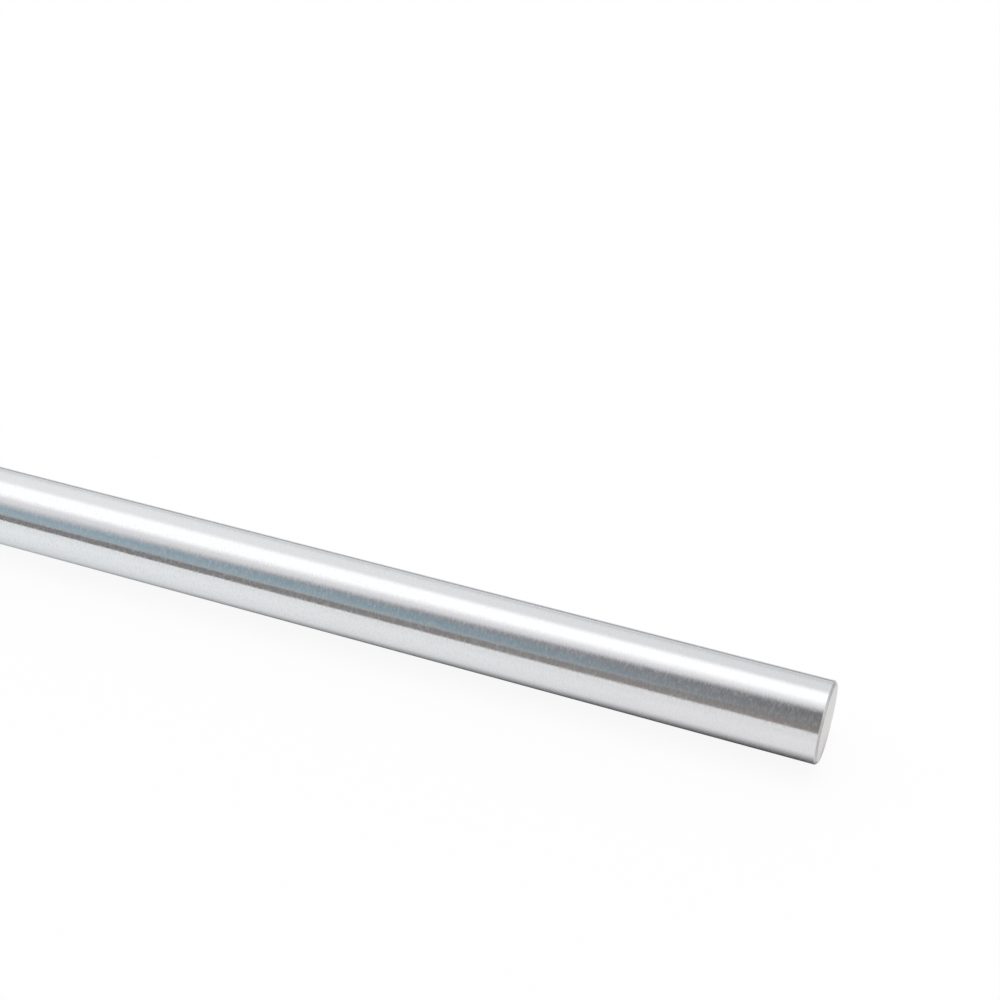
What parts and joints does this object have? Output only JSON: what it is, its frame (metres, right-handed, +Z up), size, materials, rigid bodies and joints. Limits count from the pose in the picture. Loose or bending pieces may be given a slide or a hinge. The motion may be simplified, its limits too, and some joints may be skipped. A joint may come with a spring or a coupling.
{
  "type": "linear shaft",
  "caption": "Plain round linear shaft, hard-chrome plated and ground to a bearing fit over its whole length, cut square and chamfered at each end.",
  "frame": {"origin": "on the shaft's axis, at the middle of its length", "axes": "+X along the shaft's axis, +Z up with the shaft lying on its side; the shaft is the same both ways along X and all round it"},
  "size_m": [0.3, 0.016, 0.016],
  "materials": {
    "chromed_steel": "hard chrome, ground and polished round the bar; cut ends and chamfers bare ground steel"
  },
  "bodies": {
    "root": {"shaft": "chromed_steel"}
  },
  "joints": []
}
